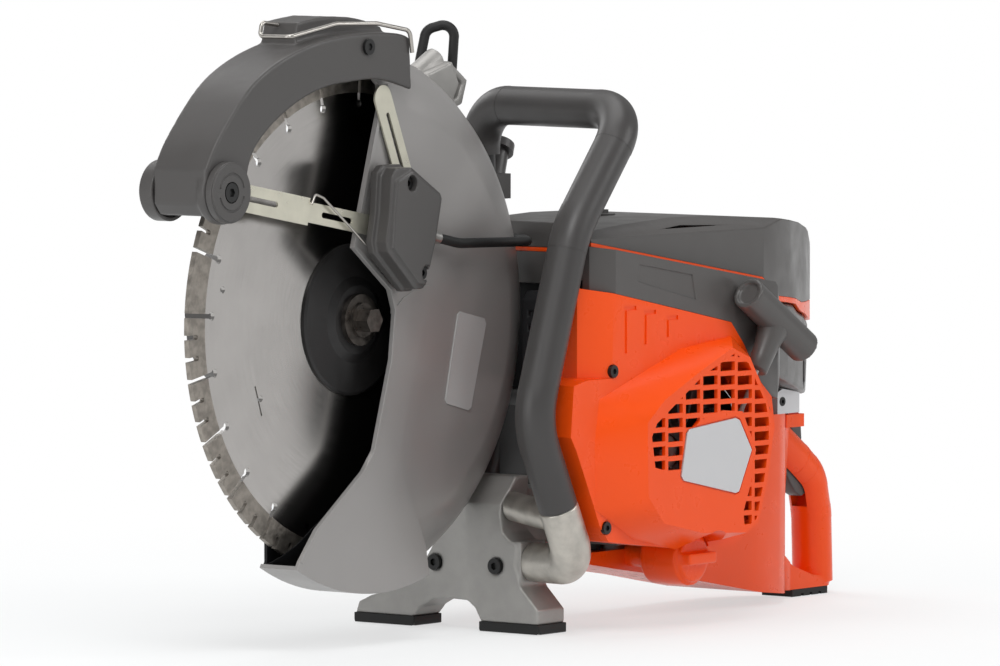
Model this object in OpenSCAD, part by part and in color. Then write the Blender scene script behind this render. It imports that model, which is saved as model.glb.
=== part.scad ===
// Rescue saw: a hand-held powered cutter with a segmented blade, a tilting guard
// with a retracting front guard, and a petrol engine unit. Units are millimetres.
// The build frame has its origin at the blade's centre, X to the rear, Z up and
// the starter side at -Y. place() moves it to the floor-centred part frame.

/* [Blade] */
// Blade outside diameter
blade_d = 350; // [340:1:352]
// Steel core thickness
core_t = 3.2; // [2.8:0.1:3.6]
// Segment thickness
segment_t = 4.2; // [3.8:0.1:4.6]
// Segment height
segment_h = 17; // [15:0.5:18]
// Gullet slot width
gullet_w = 3.2; // [2.4:0.1:4]
// Flange outside diameter
flange_d = 106; // [100:1:110]

/* [Guard] */
// Room between the blade's edge and the guard's outer face
guard_room = 15; // [13:0.5:16]
// Guard wall thickness
guard_t = 3; // [2.6:0.1:3.2]
// Height of the lip along the guard's cut edge
lip_r = 1.2; // [0.8:0.1:1.3]
// Width of that lip
lip_w = 3.2; // [2.5:0.1:4]

/* [Front guard] */
// Roller radius
roller_r = 21; // [19:0.5:22]
// Link strap thickness
strap_t = 1.4; // [1.1:0.1:1.4]
// Wire clip diameter
clip_d = 3; // [2.4:0.1:3.2]

/* [Handles] */
// Front handle grip diameter
grip_d = 28; // [26:0.5:29]
// Front handle steel tube diameter
tube_d = 21; // [20:0.5:22]
// Rear handle thickness
rear_grip_w = 34; // [30:1:36]

/* [Engine unit] */
// Cylinder fin thickness
fin_t = 2.2; // [1.8:0.1:2.6]
// Grille slot height
grille_slot_h = 6.5; // [5:0.25:7]
// Starter pull grip diameter
pull_d = 24; // [22:0.5:25]

/* [Stand] */
// Rubber pad thickness
pad_t = 7; // [6:0.5:8]
// Stand casting depth
stand_d = 31; // [28:1:32]

/* [Hidden] */
$fn = 64;
// radial clearance of a pin or shaft in its bore
run_gap = 0.08;
// clearance between faces that pass each other
pass_gap = 0.4;
// heights and centring of the part frame
axle_h = 228;
guard_r = blade_d / 2 + guard_room;
// lowest faces above the ground: the stand's feet and the frame's base
foot_t = 5.5;
stand_z = pad_t - axle_h;
base_z = foot_t - axle_h;
// centre line of the rear handle's round bar
grip_y = -15;
bar_r = rear_grip_w / 2 - 2;
bar_low = [528.5, grip_y, base_z + 3];
bar_pts = [[472, grip_y, -107], [503, grip_y, -128], [520, grip_y, -141], [526.5, grip_y, -168], bar_low];
front_x = -199;
rear_x = bar_low[0] + bar_r;
near_y = -136.5;
far_y = 118;
mid_x = (front_x + rear_x) / 2;
mid_y = (near_y + far_y) / 2;
// drive: spindle at the origin, crankshaft behind and below it
crank_x = 255;
crank_z = -104;

module place() {
    translate([-mid_x, -mid_y, axle_h])
        children();
}

// side-view outline (x, z) extruded from y0 to y1
module slab(y0, y1) {
    translate([0, y1, 0])
        rotate([90, 0, 0])
            linear_extrude(y1 - y0)
                children();
}

// cylinder along Y
module ycyl(r, y0, y1, x = 0, z = 0) {
    translate([x, y0, z])
        rotate([-90, 0, 0])
            cylinder(r = r, h = y1 - y0);
}

// profile of (radius, y) points turned about the Y axis
module yturn() {
    rotate([-90, 0, 0])
        rotate_extrude()
            children();
}

// turn about Y so that +X points at the angle a, measured towards +Z
module aim(a) {
    rotate([0, -a, 0])
        children();
}

// round bar between two points
module rod(p, q, r) {
    d = q - p;
    len = norm(d);
    translate(p)
        rotate([0, acos(d[2] / len), atan2(d[1], d[0])])
            cylinder(r = r, h = len);
}

// bent round tube: straight runs joined by true arcs of bend radius br at each inner point
bend_lap = 0.2;
function bend_r(r) = 1.01 * r + 0.02;
function unit(v) = v / norm(v);
function turn_t(a, b, c, br) = br * tan(acos(max(-1, min(1, unit(b - a) * unit(c - b)))) / 2);
module bend(a, b, c, br, r) {
    u = unit(b - a);
    w = unit(c - b);
    phi = acos(max(-1, min(1, u * w)));
    m = unit(w - (w * u) * u);
    n = cross(-m, u);
    o = b - u * br * tan(phi / 2) + m * br;
    multmatrix([[-m[0], u[0], n[0], o[0]], [-m[1], u[1], n[1], o[1]], [-m[2], u[2], n[2], o[2]], [0, 0, 0, 1]])
        rotate_extrude(angle = phi)
            translate([br, 0])
                circle(r = bend_r(r));
}

module tube(pts, br, r) {
    last = len(pts) - 1;
    for (i = [0 : last - 1]) {
        u = unit(pts[i + 1] - pts[i]);
        t0 = i == 0 ? 0 : turn_t(pts[i - 1], pts[i], pts[i + 1], br[i]);
        t1 = i == last - 1 ? 0 : turn_t(pts[i], pts[i + 1], pts[i + 2], br[i + 1]);
        e0 = i == 0 ? 0 : bend_lap;
        e1 = i == last - 1 ? 0 : bend_lap;
        rod(pts[i] + u * (t0 - e0), pts[i + 1] - u * (t1 - e1), r);
        if (i > 0)
            bend(pts[i - 1], pts[i], pts[i + 1], br[i], r);
    }
}

// strap outline along +X with round ends
module strap(l, w, y0, y1) {
    ycyl(w / 2, y0, y1);
    ycyl(w / 2, y0, y1, l);
    translate([0, y0, -w / 2])
        cube([l, y1 - y0, w]);
}

// slot cutter along +X from x0 to x1
module slot(x0, x1, w, y0, y1) {
    ycyl(w / 2, y0, y1, x0);
    ycyl(w / 2, y0, y1, x1);
    translate([x0, y0, -w / 2])
        cube([x1 - x0, y1 - y0, w]);
}

// socket-head screw pointing to +Y, its head towards -Y
module yscrew(x, y, z, r, h) {
    difference() {
        ycyl(r, y - h, y, x, z);
        translate([x, y - h / 2, z])
            rotate([90, 0, 0])
                cylinder(r = r * 0.5, h = h, $fn = 6);
    }
}

// ---------------------------------------------------------------- blade
segments = 24;
gullet_a = 161.45;
pitch_a = 360 / segments;
weld_r = blade_d / 2 - segment_h;
gullet_r = weld_r - 7.5;
gullet_hole_r = 3;
spindle_r = 10;

module blade_core() {
    color([0.66, 0.65, 0.63])
        difference() {
            ycyl(weld_r, -core_t / 2, core_t / 2);
            ycyl(spindle_r + 0.05, -core_t, core_t);
            for (k = [0 : segments - 1])
                aim(gullet_a + pitch_a * k) {
                    ycyl(gullet_hole_r, -core_t, core_t, gullet_r);
                    translate([gullet_r, -core_t, -gullet_w / 2])
                        cube([segment_h, 2 * core_t, gullet_w]);
                }
            aim(169.0)
                ycyl(2.4, -core_t, core_t, 141);
            aim(207)
                ycyl(2.3, -core_t, core_t, 110);
            translate([-104, 0, -41])
                rotate([0, 71, 0])
                    translate([0, -core_t, -0.7])
                        cube([22, 2 * core_t, 1.4]);
        }
}

notch_w = 3.2;
notch_depth = 8;
notch_a = 2.5;
module blade_segments() {
    color([0.5, 0.47, 0.43])
        difference() {
            ycyl(blade_d / 2, -segment_t / 2, segment_t / 2);
            ycyl(weld_r, -segment_t, segment_t);
            for (k = [0 : segments - 1])
                aim(gullet_a + pitch_a * k)
                    translate([weld_r - 5, -segment_t, -gullet_w / 2])
                        cube([segment_h + 10, 2 * segment_t, gullet_w]);
            for (k = [1 : segments - 1])
                for (s = [-1, 1])
                    aim(gullet_a + pitch_a * (k + 0.5) + s * notch_a) {
                        ycyl(notch_w / 2, -segment_t, segment_t, blade_d / 2 - notch_depth);
                        translate([blade_d / 2 - notch_depth, -segment_t, -notch_w / 2])
                            cube([notch_depth + 5, 2 * segment_t, notch_w]);
                    }
        }
}

flange_t = 6.4;
module flange_profile() {
    polygon([[spindle_r + 0.05, 0], [flange_d / 2, 0], [flange_d / 2, 1.6], [flange_d / 2 - 2, 2.6],
        [30, 3.4], [24, flange_t], [spindle_r + 0.05, flange_t]]);
}

module outer_flange() {
    color([0.08, 0.08, 0.085])
        translate([0, -core_t / 2, 0])
            mirror([0, 1, 0])
                yturn()
                    flange_profile();
}

module inner_flange() {
    color([0.08, 0.08, 0.085])
        translate([0, core_t / 2, 0])
            yturn()
                polygon([[spindle_r + 0.05, 0], [flange_d / 2, 0], [flange_d / 2, 1.2], [flange_d / 2 - 2, 1.8],
                    [30, 1.8], [22, 2.2], [22, flange_t], [spindle_r + 0.05, flange_t]]);
}

washer_y = -core_t / 2 - flange_t;
washer_t = 3.6;
module blade_washer() {
    color([0.2, 0.19, 0.18])
        difference() {
            ycyl(18, washer_y - washer_t, washer_y);
            ycyl(5.2, washer_y - 10, washer_y + 1);
        }
}

bolt_h = 12;
module blade_bolt() {
    color([0.28, 0.26, 0.24]) {
        translate([0, washer_y - washer_t, 0])
            rotate([90, 0, 0])
                cylinder(r = 9, h = bolt_h, $fn = 6);
        ycyl(12, washer_y - washer_t - 2.4, washer_y - washer_t);
        ycyl(5, washer_y - washer_t, washer_y + 12);
    }
}

spindle_y0 = washer_y;
spindle_y1 = 90;
module spindle() {
    color([0.6, 0.6, 0.6])
        difference() {
            ycyl(spindle_r, spindle_y0, spindle_y1);
            ycyl(5.05, spindle_y0 - 1, spindle_y0 + 14);
        }
}

belt_y0 = 66;
belt_y1 = 84;
driven_r = 44;
drive_r = driven_r / 1.98;
module pulley_body(r, bore) {
    difference() {
        union() {
            ycyl(r, belt_y0 + 2, belt_y1 - 2);
            ycyl(r + 2.4, belt_y0 - 1.4, belt_y0 + 1);
            ycyl(r + 2.4, belt_y1 - 1, belt_y1 + 1.4);
            ycyl(r, belt_y0, belt_y1);
        }
        ycyl(bore, belt_y0 - 5, belt_y1 + 5);
    }
}

module driven_pulley() {
    color([0.5, 0.5, 0.5])
        difference() {
            pulley_body(driven_r, spindle_r + 0.05);
            for (a = [0 : 60 : 300])
                aim(a)
                    ycyl(8, belt_y0 - 5, belt_y1 + 5, 27);
        }
}

// ---------------------------------------------------------------- guard
guard_near = -26;
guard_far = 7;
bearing_r = 26;
// edge of the opening, from the top round to the lower front end
guard_edge = [[-16, guard_r + 4], [7, 164], [-5, 126], [-27, 52], [13, 21], [18, 7], [14, -28], [-5, -90],
    [-17, -104], [-68, -141], [-86, -162], [-91, -171], [-100, -200]];
module guard_cut(y0, y1) {
    slab(y0, y1)
        polygon(concat(guard_edge, [[-300, -200], [-300, 300], [-16, 300]]));
}

// side of a line, and points of a line set off to the left of its run by the distance w
function side(a, b) = unit([b[1] - a[1], a[0] - b[0]]);
function off_pt(p, i, w) = p[i] - w * (side(p[i - 1], p[i]) + side(p[i], p[i + 1])) /
    (1 + side(p[i - 1], p[i]) * side(p[i], p[i + 1]));

// dome section as (radius, y), from the flat near wall round to the rim
dome = [[0, guard_near], [guard_r - 42, guard_near], [guard_r - 30, guard_near + 3],
    [guard_r - 18, guard_near + 8.5], [guard_r - 8, guard_near + 16.5], [guard_r - 2, guard_near + 24],
    [guard_r, guard_near + 29], [guard_r, guard_far + 1]];
module guard_outer() {
    yturn()
        polygon(concat([for (i = [0 : 6]) dome[i]], [[guard_r, guard_far], [0, guard_far]]));
}

module guard_inner(inset) {
    t = guard_t + inset;
    yturn()
        polygon(concat([[0, guard_near + t]], [for (i = [1 : 6]) off_pt(dome, i, t)],
            [[guard_r - t, guard_far + 1], [0, guard_far + 1]]));
}

// flat land beside the opening, square out to the rim, bounded by a crease on the dome
land_h = lip_r - 0.4;
crease = [[66, 40], [61, 22], [26, -89], [26, -106], [45, -143], [53, -161], [60, -200], [62, -210]];
crease_n = len(crease) - 2;
module guard_land(grow, y0) {
    intersection() {
        slab(y0, guard_far + (grow < 0 ? 1 : 0))
            polygon(concat([[-150, 7 + grow], [18, 7 + grow], [28, 15 + grow], [50, 22 + grow]],
                [for (i = [1 : crease_n]) crease[i] + [grow, 0]], [[-150, -200]]));
        ycyl(guard_r + grow, y0 - 1, guard_far + 2);
    }
}

lip_n = len(guard_edge) - 3;
module guard_lip() {
    slab(guard_near - lip_r, guard_near + 0.5)
        polygon(concat([for (i = [1 : lip_n]) guard_edge[i]],
            [for (i = [lip_n : -1 : 1]) off_pt(guard_edge, i, lip_w)]));
}

module guard_shell() {
    color([0.57, 0.56, 0.55]) {
        difference() {
            union() {
                guard_outer();
                guard_land(0, guard_near - land_h);
            }
            guard_inner(0);
            guard_land(-guard_t, guard_near - land_h + guard_t);
            guard_cut(guard_near - 5, guard_far + 5);
        }
        guard_lip();
    }
}

back_t = 2.6;
sleeve_l = 12;
module guard_back() {
    color([0.05, 0.05, 0.055])
        difference() {
            union() {
                ycyl(guard_r - guard_t - 0.05, guard_far - back_t, guard_far);
                ycyl(bearing_r + 8, guard_far, guard_far + sleeve_l);
            }
            ycyl(bearing_r + run_gap, guard_far - 5, guard_far + sleeve_l + 1);
            slab(guard_far - 6, guard_far + 1)
                polygon([[-16, 300], [-14, 187], [9, 164], [-3, 126], [-38, 60], [-38, -60], [-60, -120],
                    [-84, -144], [-84, -164], [-89, -172], [-300, -172], [-300, 300]]);
        }
}

liner_t = 0.6;
module guard_liner() {
    color([0.03, 0.03, 0.03])
        difference() {
            guard_inner(0.02);
            guard_inner(liner_t);
            translate([-250, guard_far - back_t - 0.05, -250])
                cube([500, 30, 500]);
            translate([1.5, 0, 0])
                guard_cut(guard_near - 5, guard_far + 5);
        }
}

module guard_label_plate() {
    color([0.72, 0.72, 0.71])
        slab(guard_near - 0.8, guard_near)
            polygon([[89, 0], [92, 2], [119, -4], [121, -8], [104, -66], [101, -68], [77, -62], [75, -59]]);
}

brk_y0 = guard_far + 9;
brk_y1 = brk_y0 + 18;
brk_x = 83;
module bracket_lug(y0, y1) {
    translate([brk_x, 0, 0])
        slab(y0, y1)
            polygon([[45, 152], [51, 176], [56, 176], [76, 162], [70, 145], [62, 143]]);
}

module guard_bracket() {
    color([0.6, 0.6, 0.6]) {
        // foot on the guard's far wall, then the lug beyond the front guard's path
        translate([brk_x, 0, 0]) {
            slab(guard_far, brk_y0 + 4)
                polygon([[5, 108], [14, 122], [27, 114], [22, 96], [10, 94]]);
            slab(brk_y0, brk_y0 + 4)
                polygon([[3, 112], [26, 168], [54, 176], [62, 160], [54, 146], [22, 94], [10, 92]]);
        }
        difference() {
            bracket_lug(brk_y0 + 4, brk_y1);
            translate([brk_x, 0, 0])
                slab(brk_y0 + 3, brk_y1 + 1)
                    polygon([[51, 155], [55, 169], [58, 169], [70, 160], [65, 150], [61, 149]]);
            rod(hose_run[10], hose_run[9], hose_r + 0.05);
        }
        difference() {
            translate([brk_x + 26, brk_y0 + 12, 166])
                rotate([0, 62, 0])
                    cylinder(r = 8, h = 26);
            bracket_lug(brk_y0, brk_y1 + 10);
        }
    }
}

// layers of the link work in front of the guard
link_gap = 0.3;
wire_d = 1.7;
box_back = guard_near - lip_r - 2 * strap_t - 3 * link_gap - wire_d - 0.4;
box_front = -52;
box_foot_x = 24;
box_foot_z = 30;
module box_outline() {
    polygon([[-16, 104], [-10, 109], [9, 109], [43, 90], [45, 84], [38, 54], [26, 24], [22, 20], [12, 20],
        [-20, 48], [-22, 56], [-18, 76]]);
}

module mechanism_box() {
    color([0.19, 0.185, 0.185])
        difference() {
            union() {
                slab(box_back - 6, box_back)
                    box_outline();
                intersection() {
                    slab(box_front, box_back)
                        box_outline();
                    union() {
                        slab(box_front, box_back)
                            polygon([[-9, 98], [8, 104], [39, 86], [33, 56], [23, 27], [20, 25], [14, 26], [-14, 52],
                                [-12, 76]]);
                        translate([0, -1.5, 0])
                            slab(-48, box_back)
                                polygon([[-13, 101], [-8, 107], [9, 107], [41, 88], [43, 84], [36, 55], [25, 25],
                                    [21, 22], [13, 22], [-17, 49], [-19, 56], [-15, 76]]);
                    }
                }
                // foot that carries the box on the guard
                slab(box_back - 1, guard_near)
                    polygon([[18, 27], [24, 26], [30, 36], [35, 47], [26, 47], [18, 38]]);
            }
            for (p = [[7, 96], [box_foot_x - 1, box_foot_z + 3]])
                ycyl(5.4, box_front - 1, box_front + 8, p[0], p[1]);
        }
}

pin_r = 3;
low_pin = [28, 60];
up_pin = [33, 84];
h_pin = [-177, 96];
module link_pins() {
    color([0.5, 0.5, 0.48])
        for (p = [low_pin, up_pin])
            ycyl(pin_r, box_back, guard_near, p[0], p[1]);
    color([0.07, 0.07, 0.07])
        for (p = [[7, 96], [box_foot_x - 1, box_foot_z + 3]])
            yscrew(p[0], box_front + 8, p[1], 4.6, 4);
}

inner_y0 = guard_near - lip_r - link_gap - strap_t;
outer_y0 = inner_y0 - link_gap - strap_t;
rest_a = atan2(h_pin[1] - low_pin[1], h_pin[0] - low_pin[0]);
inner_l = 118;
inner_w = 14;
module lower_inner_link() {
    color([0.62, 0.61, 0.54])
        translate([low_pin[0], 0, low_pin[1]])
            aim(rest_a)
                difference() {
                    strap(inner_l, inner_w, inner_y0, inner_y0 + strap_t);
                    ycyl(pin_r + run_gap, inner_y0 - 1, inner_y0 + strap_t + 1);
                    slot(62, 92, 4, inner_y0 - 1, inner_y0 + strap_t + 1);
                }
}

wire_y = outer_y0 - link_gap - wire_d / 2;
module link_wire() {
    color([0.35, 0.34, 0.33])
        tube([[-79, wire_y, 84], [-75, wire_y, 91], [-66, wire_y, 88], [-21, wire_y, 55], [-2, wire_y, 44]],
            [0, 3, 3, 6, 0], wire_d / 2);
}

outer_l = 98;
outer_w = 19;
module lower_outer_link() {
    color([0.66, 0.65, 0.57])
        translate([h_pin[0], 0, h_pin[1]])
            aim(rest_a + 180)
                difference() {
                    union() {
                        strap(outer_l - outer_w / 2, outer_w, outer_y0, outer_y0 + strap_t);
                        translate([outer_l - outer_w, outer_y0, -outer_w / 2])
                            cube([outer_w, strap_t, outer_w]);
                    }
                    ycyl(pin_r + run_gap, outer_y0 - 1, outer_y0 + strap_t + 1);
                    slot(24, 62, 4, outer_y0 - 1, outer_y0 + strap_t + 1);
                }
}

up_a = 113;
up_l = 86;
up_w = 18;
module upper_link() {
    color([0.62, 0.61, 0.54])
        translate([up_pin[0], 0, up_pin[1]])
            aim(up_a)
                difference() {
                    strap(up_l - up_w / 2, up_w, inner_y0, inner_y0 + strap_t);
                    ycyl(pin_r + run_gap, inner_y0 - 1, inner_y0 + strap_t + 1);
                    slot(22, 64, 3.4, inner_y0 - 1, inner_y0 + strap_t + 1);
                }
}

hose_r = 3.5;
hose_end = [brk_x + 64, 166];
hose_y = guard_far + 8;
hose_c = guard_r + hose_r + 0.5;
hose_run = [[48, -36.5, 57], [78, -36.5, 51], [158, -35, 49], [hose_c * cos(14.5), -8, hose_c * sin(14.5)],
    [hose_c * cos(14.5), hose_y - 1, hose_c * sin(14.5)], [146, hose_y, 56], [brk_x + 28, hose_y, 84],
    [brk_x + 36, hose_y + 30, 124], [brk_x + 55, hose_y + 26, 198], [hose_end[0] + 4, brk_y0 + 9, 204],
    [hose_end[0], brk_y0 + 9, hose_end[1]]];
hose_bend = [0, 60, 24, 14, 8, 14, 14, 12, 8, 8, 0];
module guard_hose() {
    color([0.09, 0.09, 0.09])
        tube(hose_run, hose_bend, hose_r);
}

hose_u = unit(hose_run[1] - hose_run[0]);
module hose_ferrule() {
    color([0.7, 0.7, 0.7])
        difference() {
            rod(hose_run[0] - 9 * hose_u, hose_run[0] + 6 * hose_u, 4.6);
            rod(hose_run[0], hose_run[0] + 8 * hose_u, hose_r + 0.05);
            slab(box_front - 1, box_back + 1)
                box_outline();
        }
}

// ---------------------------------------------------------------- front guard
sg_near = -36;
sg_far = guard_far + 4;
sg_t = 3.6;
sg_screws = [[-23, 191]];
sg_outer = [[-196.5, 112], [-189, 126], [-177, 140], [-161, 157], [-145, 171], [-121, 183], [-97, 191], [-75, 196],
    [-53, 199], [-20, 201], [16, 200], [24, 196], [26, 160], [-4, 168], [-23, 168.5], [-42, 167], [-58, 166],
    [-75, 163], [-94, 157], [-113, 148], [-128, 139], [-142, 128], [-150, 117], [-153, 104], [-156, 88],
    [-165, 79], [-190, 80], [-196.5, 88]];
sg_void = [[-193, 108], [-184, 123], [-173, 137], [-158, 153], [-142, 166.5], [-119, 178.5], [-96, 186.5],
    [-74, 191.8], [-53, 194.8], [-20, 196.6], [14, 195.4], [40, 192], [40, 120], [-154, 70], [-154, 90],
    [-160, 108], [-176, 118]];
module front_guard() {
    color([0.19, 0.185, 0.185])
        difference() {
            union() {
                slab(sg_near, sg_far)
                    polygon(sg_outer);
                // raised pad with its recess
                difference() {
                    slab(-22, sg_far - 2)
                        polygon([[-86, 190], [-81, 209], [-55, 213], [-14, 211], [9, 204], [14, 196], [-30, 196]]);
                    translate([-38, -5, 210.5])
                        cylinder(r = 13, h = 10);
                    translate([-52, -18, 210.5])
                        cube([28, 22, 10]);
                }
                // bosses of the roller axle
                ycyl(22, sg_near, sg_near + 7, h_pin[0], h_pin[1]);
            }
            slab(sg_near + sg_t, sg_far - sg_t)
                polygon(sg_void);
            // blade and guard keep their own space
            ycyl(181, sg_near + sg_t, sg_far - sg_t);
            ycyl(184, sg_far - sg_t - 1, sg_far + 1);
            // room for the outer link behind the near wall
            slab(sg_near + sg_t, outer_y0 + strap_t + 0.6)
                polygon([[-190, 83], [-191, 107], [-172, 114], [-140, 112], [-140, 62], [-164, 82]]);
            for (p = sg_screws)
                ycyl(3.1, sg_near - 1, sg_near + sg_t + 1, p[0], p[1]);
            ycyl(pin_r + 0.05, sg_near - 1, sg_far + 1, h_pin[0], h_pin[1]);
        }
}

clip_r = clip_d / 2;
clip_y = sg_near + 5;
module front_guard_clip() {
    color([0.6, 0.58, 0.54])
        tube([[24, sg_near - 1.7, 186], [21, sg_near - 1.9, 201.4], [-12, clip_y - 4, 207], [-51, clip_y, 207.5],
            [-100, clip_y + 1, 199.5], [-102, -5, 199.5], [-100, -5, 209], [-83.6, -5, 207]],
            [0, 6, 16, 30, 3.5, 3, 3, 0], clip_r);
}

module front_guard_screws() {
    color([0.07, 0.07, 0.07])
        for (p = sg_screws) {
            yscrew(p[0], sg_near, p[1], 5.5, 2.2);
            ycyl(3, sg_near - 0.2, sg_near + sg_t, p[0], p[1]);
        }
}

roller_bore = pin_r + run_gap;
near_roller_y0 = -42.6;
module near_roller() {
    color([0.17, 0.165, 0.165])
        translate([h_pin[0], 0, h_pin[1]])
            difference() {
                union() {
                    ycyl(roller_r, near_roller_y0 + 1.2, sg_near - pass_gap);
                    ycyl(roller_r - 1.2, near_roller_y0, near_roller_y0 + 1.2);
                }
                ycyl(roller_bore, near_roller_y0 - 1, 0);
                difference() {
                    ycyl(13.5, near_roller_y0 - 1, near_roller_y0 + 0.8);
                    ycyl(12, near_roller_y0 - 2, near_roller_y0 + 2);
                    translate([-20, near_roller_y0 - 2, -3])
                        cube([40, 5, 6]);
                }
                ycyl(7.4, near_roller_y0 - 1, near_roller_y0 + 2.4);
            }
}

far_roller_y1 = sg_far + 12.8;
module far_roller() {
    color([0.13, 0.125, 0.12])
        translate([h_pin[0], 0, h_pin[1]])
            difference() {
                union() {
                    ycyl(roller_r, sg_far + pass_gap, far_roller_y1 - 1.2);
                    ycyl(roller_r - 1.2, far_roller_y1 - 1.2, far_roller_y1);
                }
                ycyl(roller_bore, 0, far_roller_y1 + 1);
                ycyl(7.4, far_roller_y1 - 2.4, far_roller_y1 + 1);
                difference() {
                    ycyl(roller_r - 3, sg_far, sg_far + pass_gap + 2);
                    ycyl(9, sg_far - 1, far_roller_y1);
                }
            }
}

axle_r = pin_r;
module roller_axle() {
    color([0.3, 0.3, 0.3])
        translate([h_pin[0], 0, h_pin[1]]) {
            ycyl(axle_r, near_roller_y0 + 1.9, far_roller_y1 - 1.9);
            difference() {
                ycyl(6.6, near_roller_y0 + 0.2, near_roller_y0 + 1.9);
                rotate([90, 0, 0])
                    translate([0, 0, 40])
                        cylinder(r = 3.2, h = 5, $fn = 6);
            }
            ycyl(6.6, far_roller_y1 - 1.9, far_roller_y1 - 0.2);
        }
}

// ---------------------------------------------------------------- stand and front handle
stand_x = 138;
saddle_r = guard_r + 4.5;
module stand_outline() {
    // front view, (y, z)
    polygon([[-60, stand_z], [-60, stand_z + 10], [-44, -195], [-38, -180], [-40, -167], [-28, -157], [-26, -145],
        [-28, -118], [31.4, -118], [31.4, -150], [33, -165], [44, -182], [60, -199], [92, -208],
        [103, stand_z + 8], [106, stand_z], [53, stand_z], [47, stand_z + 7], [36, stand_z + 13],
        [22, stand_z + 14.5], [4, stand_z + 14], [-3, stand_z + 9], [-8, stand_z]]);
}

module front_stand() {
    color([0.58, 0.57, 0.56])
        difference() {
            union() {
                translate([stand_x, 0, 0])
                    rotate([90, 0, 90])
                        linear_extrude(stand_d)
                            stand_outline();
                // boss that takes the front handle's elbow
                translate([stand_x + 1, boss_y, -194])
                    cube([stand_d - 2, 16, 31]);
                // beam back to the crankcase
                translate([stand_x + 20, -22, case_z0])
                    cube([case_x0 - stand_x - 20, 48, 40]);
            }
            ycyl(saddle_r, -200, 200);
            // weight relief behind the front face
            translate([stand_x + 8, -18, -156])
                cube([stand_d - 8 + 1, 12, 22]);
            for (y = [-22, 33])
                translate([stand_x - 1, y, -181])
                    rotate([0, 90, 0])
                        cylinder(r = 3.4, h = 14);
            // counterbores of the two bolts
            for (y = [-22, 33])
                translate([stand_x - 1, y, -181])
                    rotate([0, 90, 0])
                        cylinder(r = 6.2, h = 3);
        }
}

module stand_pads() {
    color([0.06, 0.06, 0.06])
        for (p = [[-61, -7], [52, 107]])
            difference() {
                translate([stand_x - 1, p[0], -axle_h])
                    cube([stand_d + 2, p[1] - p[0], pad_t]);
                for (x = [stand_x - 1, stand_x + stand_d + 1])
                    translate([x, p[0] - 1, -axle_h])
                        rotate([0, 45, 0])
                            cube([2.4, p[1] - p[0] + 2, 2.4], center = false);
            }
}

leg_y = -97;
far_leg = [226, 62];
grip_far_end = [far_leg[0] + 5 * 36 / 122, far_leg[1], 106];
grip_pts = [[113, leg_y, -133], [83, leg_y, -72], [128, leg_y, 60], [197, leg_y, 142], [far_leg[0], far_leg[1], 142],
    grip_far_end];
grip_bend = [0, 52, 80, 36, 32, 0];
end_u = unit(grip_pts[0] - grip_pts[1]);
socket_l = 15;
far_foot = [far_leg[0] + 24, far_leg[1] - 3, -38];
tube_pts = [grip_pts[0] + socket_l * end_u, grip_pts[1], grip_pts[2], grip_pts[3], grip_pts[4],
    [far_leg[0] + 5, far_leg[1], 20], far_foot];
tube_bend = [0, 52, 80, 36, 32, 40, 0];
module handle_tube() {
    color([0.25, 0.25, 0.25])
        tube(tube_pts, tube_bend, tube_d / 2);
}

module handle_grip() {
    color([0.16, 0.155, 0.155])
        difference() {
            tube(grip_pts, grip_bend, grip_d / 2);
            tube(tube_pts, tube_bend, tube_d / 2 + 0.05);
        }
}

boss_y = -44;
elbow_pts = [grip_pts[0] + 0.3 * end_u, grip_pts[0] + 48 * end_u, [153, boss_y, -178]];
elbow_r = 14.2;
lug_a = [152, -20, -138];
lug_b = [126, -88, -143];
lug_r = 10.5;
module handle_elbow() {
    color([0.62, 0.6, 0.57])
        difference() {
            union() {
                tube(elbow_pts, [0, 24, 0], elbow_r);
                // upper lug from the stand's side to the tube's clamp
                rod(lug_a, lug_b, lug_r);
            }
            rod(grip_pts[0] - end_u, grip_pts[0] + (socket_l + 0.2) * end_u, tube_d / 2 + 0.05);
            translate([stand_x - 30, -28.1, -158])
                cube([60, 20, 50]);
            translate([stand_x - 30, boss_y, -200])
                cube([60, 20, 42]);
        }
}

// ---------------------------------------------------------------- engine
case_x0 = 206;
case_x1 = 322;
case_y0 = -78;
case_y1 = 28;
case_z0 = -168;
module crankcase() {
    color([0.42, 0.42, 0.42])
        difference() {
            union() {
                slab(case_y0, case_y1)
                    polygon([[case_x0, case_z0], [case_x0, -72], [case_x0 + 8, -62], [case_x1 - 8, -62],
                        [case_x1, -76], [case_x1, -150], [case_x1 - 20, case_z0]]);
                // socket for the front handle's far end
                translate([far_foot[0] - 20, case_y1 - 11, -63])
                    cube([36, 13, 41]);
                translate([far_foot[0] - 20, case_y1, -46])
                    cube([36, far_foot[1] - case_y1 + 14, 24]);
            }
            rod(tube_pts[5], far_foot, tube_d / 2 + 0.05);
            ycyl(34, case_y0 + 14, case_y1 - 14, crank_x, crank_z);
            ycyl(12 + run_gap, case_y0 - 1, case_y1 + 1, crank_x, crank_z);
        }
}

cyl_x0 = 214;
cyl_x1 = 300;
cyl_y0 = -66;
cyl_y1 = 16;
fins = 8;
fin_pitch = 9;
module engine_cylinder() {
    color([0.3, 0.3, 0.3]) {
        for (i = [0 : fins - 1])
            translate([cyl_x0, cyl_y0, -54 + i * fin_pitch])
                cube([cyl_x1 - cyl_x0, cyl_y1 - cyl_y0, fin_t]);
        translate([(cyl_x0 + cyl_x1) / 2, (cyl_y0 + cyl_y1) / 2, -62])
            cylinder(r = 34, h = 76);
        translate([(cyl_x0 + cyl_x1) / 2, (cyl_y0 + cyl_y1) / 2, 14])
            cylinder(r = 9, h = 9);
    }
}

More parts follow.
